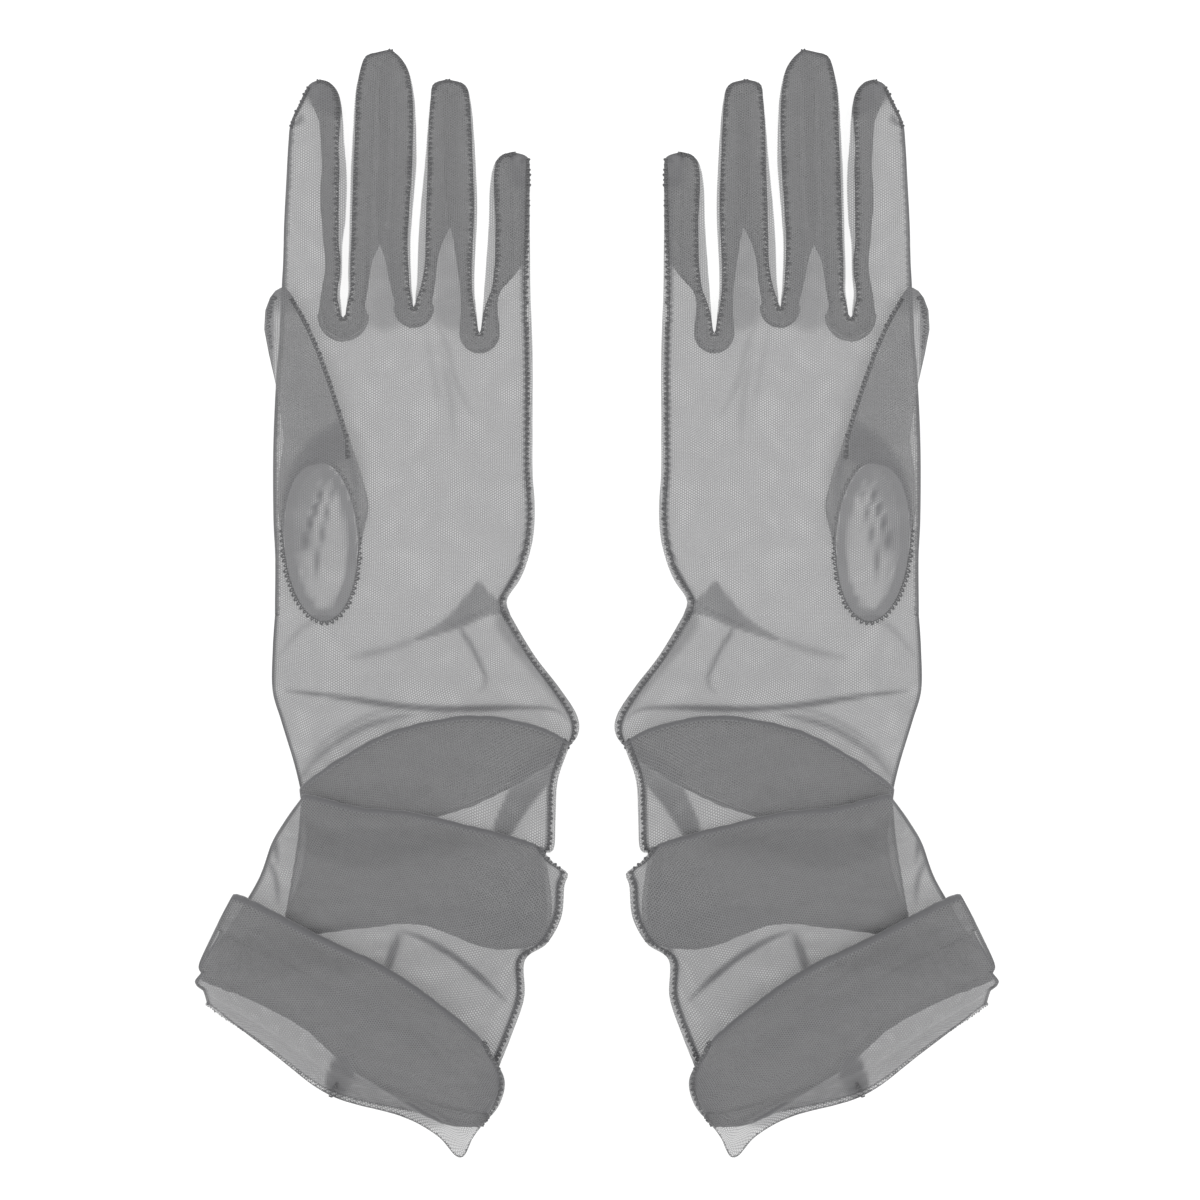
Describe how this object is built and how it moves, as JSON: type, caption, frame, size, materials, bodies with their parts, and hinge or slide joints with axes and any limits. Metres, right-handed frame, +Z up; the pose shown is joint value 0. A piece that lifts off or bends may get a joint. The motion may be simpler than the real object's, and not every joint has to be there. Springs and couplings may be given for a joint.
{
  "type": "opera gloves",
  "caption": "Pair of sheer net opera gloves laid flat, palms up, with fourchettes between the fingers, set-in thumbs and long sleeves pushed down into gathers.",
  "frame": {"origin": "on the surface that the gloves lie on, midway between the two gloves and midway from the longest fingertip to the lowest point of the mouths", "axes": "+Y from the mouths to the fingertips, +Z up out of the palms, +X from the left-hand glove to the right-hand glove"},
  "size_m": [0.256, 0.3552, 0.0168],
  "materials": {
    "tulle": "sheer fine hexagonal net, black, matt with a faint sheen",
    "doubled_tulle": "the same net folded double, black",
    "overlock_thread": "black textured polyester overlock thread, matt",
    "hem_tulle": "the net's edge rolled and overlocked, black"
  },
  "bodies": {
    "left_hand": {"left_palm": "tulle", "left_back": "tulle", "left_index_fold": "tulle", "left_hand_side_seam": "overlock_thread", "left_index_middle_gusset": "doubled_tulle", "left_middle_ring_gusset": "doubled_tulle", "left_ring_little_gusset": "doubled_tulle", "left_thumb_hood": "tulle", "left_thumb_seam": "overlock_thread"},
    "left_thumb": {"left_thumb_stall": "tulle"},
    "left_index": {"left_index_stall": "tulle", "left_index_stall_fold": "tulle", "left_index_fourchette": "doubled_tulle"},
    "left_middle": {"left_middle_stall": "tulle", "left_middle_fourchette_a": "doubled_tulle", "left_middle_fourchette_b": "doubled_tulle"},
    "left_ring": {"left_ring_stall": "tulle", "left_ring_fourchette_a": "doubled_tulle", "left_ring_fourchette_b": "doubled_tulle"},
    "left_little": {"left_little_stall": "tulle", "left_little_fourchette": "doubled_tulle", "left_little_side_seam": "overlock_thread"},
    "left_sleeve": {"left_wrist_sleeve": "tulle", "left_wrist_seam": "overlock_thread"},
    "left_gathers": {"left_gathers": "tulle", "left_gather_seam": "overlock_thread"},
    "left_cuff": {"left_cuff": "tulle", "left_cuff_seam": "overlock_thread", "left_hem": "hem_tulle"},
    "right_hand": {"right_palm": "tulle", "right_back": "tulle", "right_index_fold": "tulle", "right_hand_side_seam": "overlock_thread", "right_index_middle_gusset": "doubled_tulle", "right_middle_ring_gusset": "doubled_tulle", "right_ring_little_gusset": "doubled_tulle", "right_thumb_hood": "tulle", "right_thumb_seam": "overlock_thread"},
    "right_thumb": {"right_thumb_stall": "tulle"},
    "right_index": {"right_index_stall": "tulle", "right_index_stall_fold": "tulle", "right_index_fourchette": "doubled_tulle"},
    "right_middle": {"right_middle_stall": "tulle", "right_middle_fourchette_a": "doubled_tulle", "right_middle_fourchette_b": "doubled_tulle"},
    "right_ring": {"right_ring_stall": "tulle", "right_ring_fourchette_a": "doubled_tulle", "right_ring_fourchette_b": "doubled_tulle"},
    "right_little": {"right_little_stall": "tulle", "right_little_fourchette": "doubled_tulle", "right_little_side_seam": "overlock_thread"},
    "right_sleeve": {"right_wrist_sleeve": "tulle", "right_wrist_seam": "overlock_thread"},
    "right_gathers": {"right_gathers": "tulle", "right_gather_seam": "overlock_thread"},
    "right_cuff": {"right_cuff": "tulle", "right_cuff_seam": "overlock_thread", "right_hem": "hem_tulle"}
  },
  "joints": [
    {"name": "gloves_apart", "type": "slide", "parent": "left_hand", "child": "right_hand", "axis": [1, 0, 0], "range_m": [0, 0.08]},
    {"name": "left_index_bend", "type": "hinge", "parent": "left_hand", "child": "left_index", "pos_m": [-0.0906, 0.112, 0.007], "axis": [1, 0, 0], "range_deg": [0, 90]},
    {"name": "left_middle_bend", "type": "hinge", "parent": "left_hand", "child": "left_middle", "pos_m": [-0.069, 0.112, 0.007], "axis": [1, 0, 0], "range_deg": [0, 90]},
    {"name": "left_ring_bend", "type": "hinge", "parent": "left_hand", "child": "left_ring", "pos_m": [-0.0474, 0.112, 0.007], "axis": [1, 0, 0], "range_deg": [0, 90]},
    {"name": "left_little_bend", "type": "hinge", "parent": "left_hand", "child": "left_little", "pos_m": [-0.0274, 0.106, 0.007], "axis": [1, 0, 0], "range_deg": [0, 90]},
    {"name": "left_thumb_bend", "type": "hinge", "parent": "left_hand", "child": "left_thumb", "pos_m": [-0.088, 0.048, 0.0134], "axis": [1, 0, 0], "range_deg": [0, 75]},
    {"name": "left_sleeve_wrist_bend", "type": "hinge", "parent": "left_hand", "child": "left_sleeve", "pos_m": [-0.062, -0.016, 0.008], "axis": [-1, 0, 0], "range_deg": [0, 75]},
    {"name": "left_gathers_pull", "type": "slide", "parent": "left_sleeve", "child": "left_gathers", "axis": [0, -1, 0], "range_m": [0, 0.03]},
    {"name": "left_cuff_pull", "type": "slide", "parent": "left_gathers", "child": "left_cuff", "axis": [0, -1, 0], "range_m": [0, 0.03]},
    {"name": "right_index_bend", "type": "hinge", "parent": "right_hand", "child": "right_index", "pos_m": [0.0906, 0.112, 0.007], "axis": [1, 0, 0], "range_deg": [0, 90]},
    {"name": "right_middle_bend", "type": "hinge", "parent": "right_hand", "child": "right_middle", "pos_m": [0.069, 0.112, 0.007], "axis": [1, 0, 0], "range_deg": [0, 90]},
    {"name": "right_ring_bend", "type": "hinge", "parent": "right_hand", "child": "right_ring", "pos_m": [0.0474, 0.112, 0.007], "axis": [1, 0, 0], "range_deg": [0, 90]},
    {"name": "right_little_bend", "type": "hinge", "parent": "right_hand", "child": "right_little", "pos_m": [0.0274, 0.106, 0.007], "axis": [1, 0, 0], "range_deg": [0, 90]},
    {"name": "right_thumb_bend", "type": "hinge", "parent": "right_hand", "child": "right_thumb", "pos_m": [0.088, 0.048, 0.0134], "axis": [1, 0, 0], "range_deg": [0, 75]},
    {"name": "right_sleeve_wrist_bend", "type": "hinge", "parent": "right_hand", "child": "right_sleeve", "pos_m": [0.062, -0.016, 0.008], "axis": [-1, 0, 0], "range_deg": [0, 75]},
    {"name": "right_gathers_pull", "type": "slide", "parent": "right_sleeve", "child": "right_gathers", "axis": [0, -1, 0], "range_m": [0, 0.03]},
    {"name": "right_cuff_pull", "type": "slide", "parent": "right_gathers", "child": "right_cuff", "axis": [0, -1, 0], "range_m": [0, 0.03]}
  ],
  "couplings": [
    {"joint": "left_cuff_pull", "follows": "left_gathers_pull", "ratio": 1},
    {"joint": "right_cuff_pull", "follows": "right_gathers_pull", "ratio": 1}
  ]
}
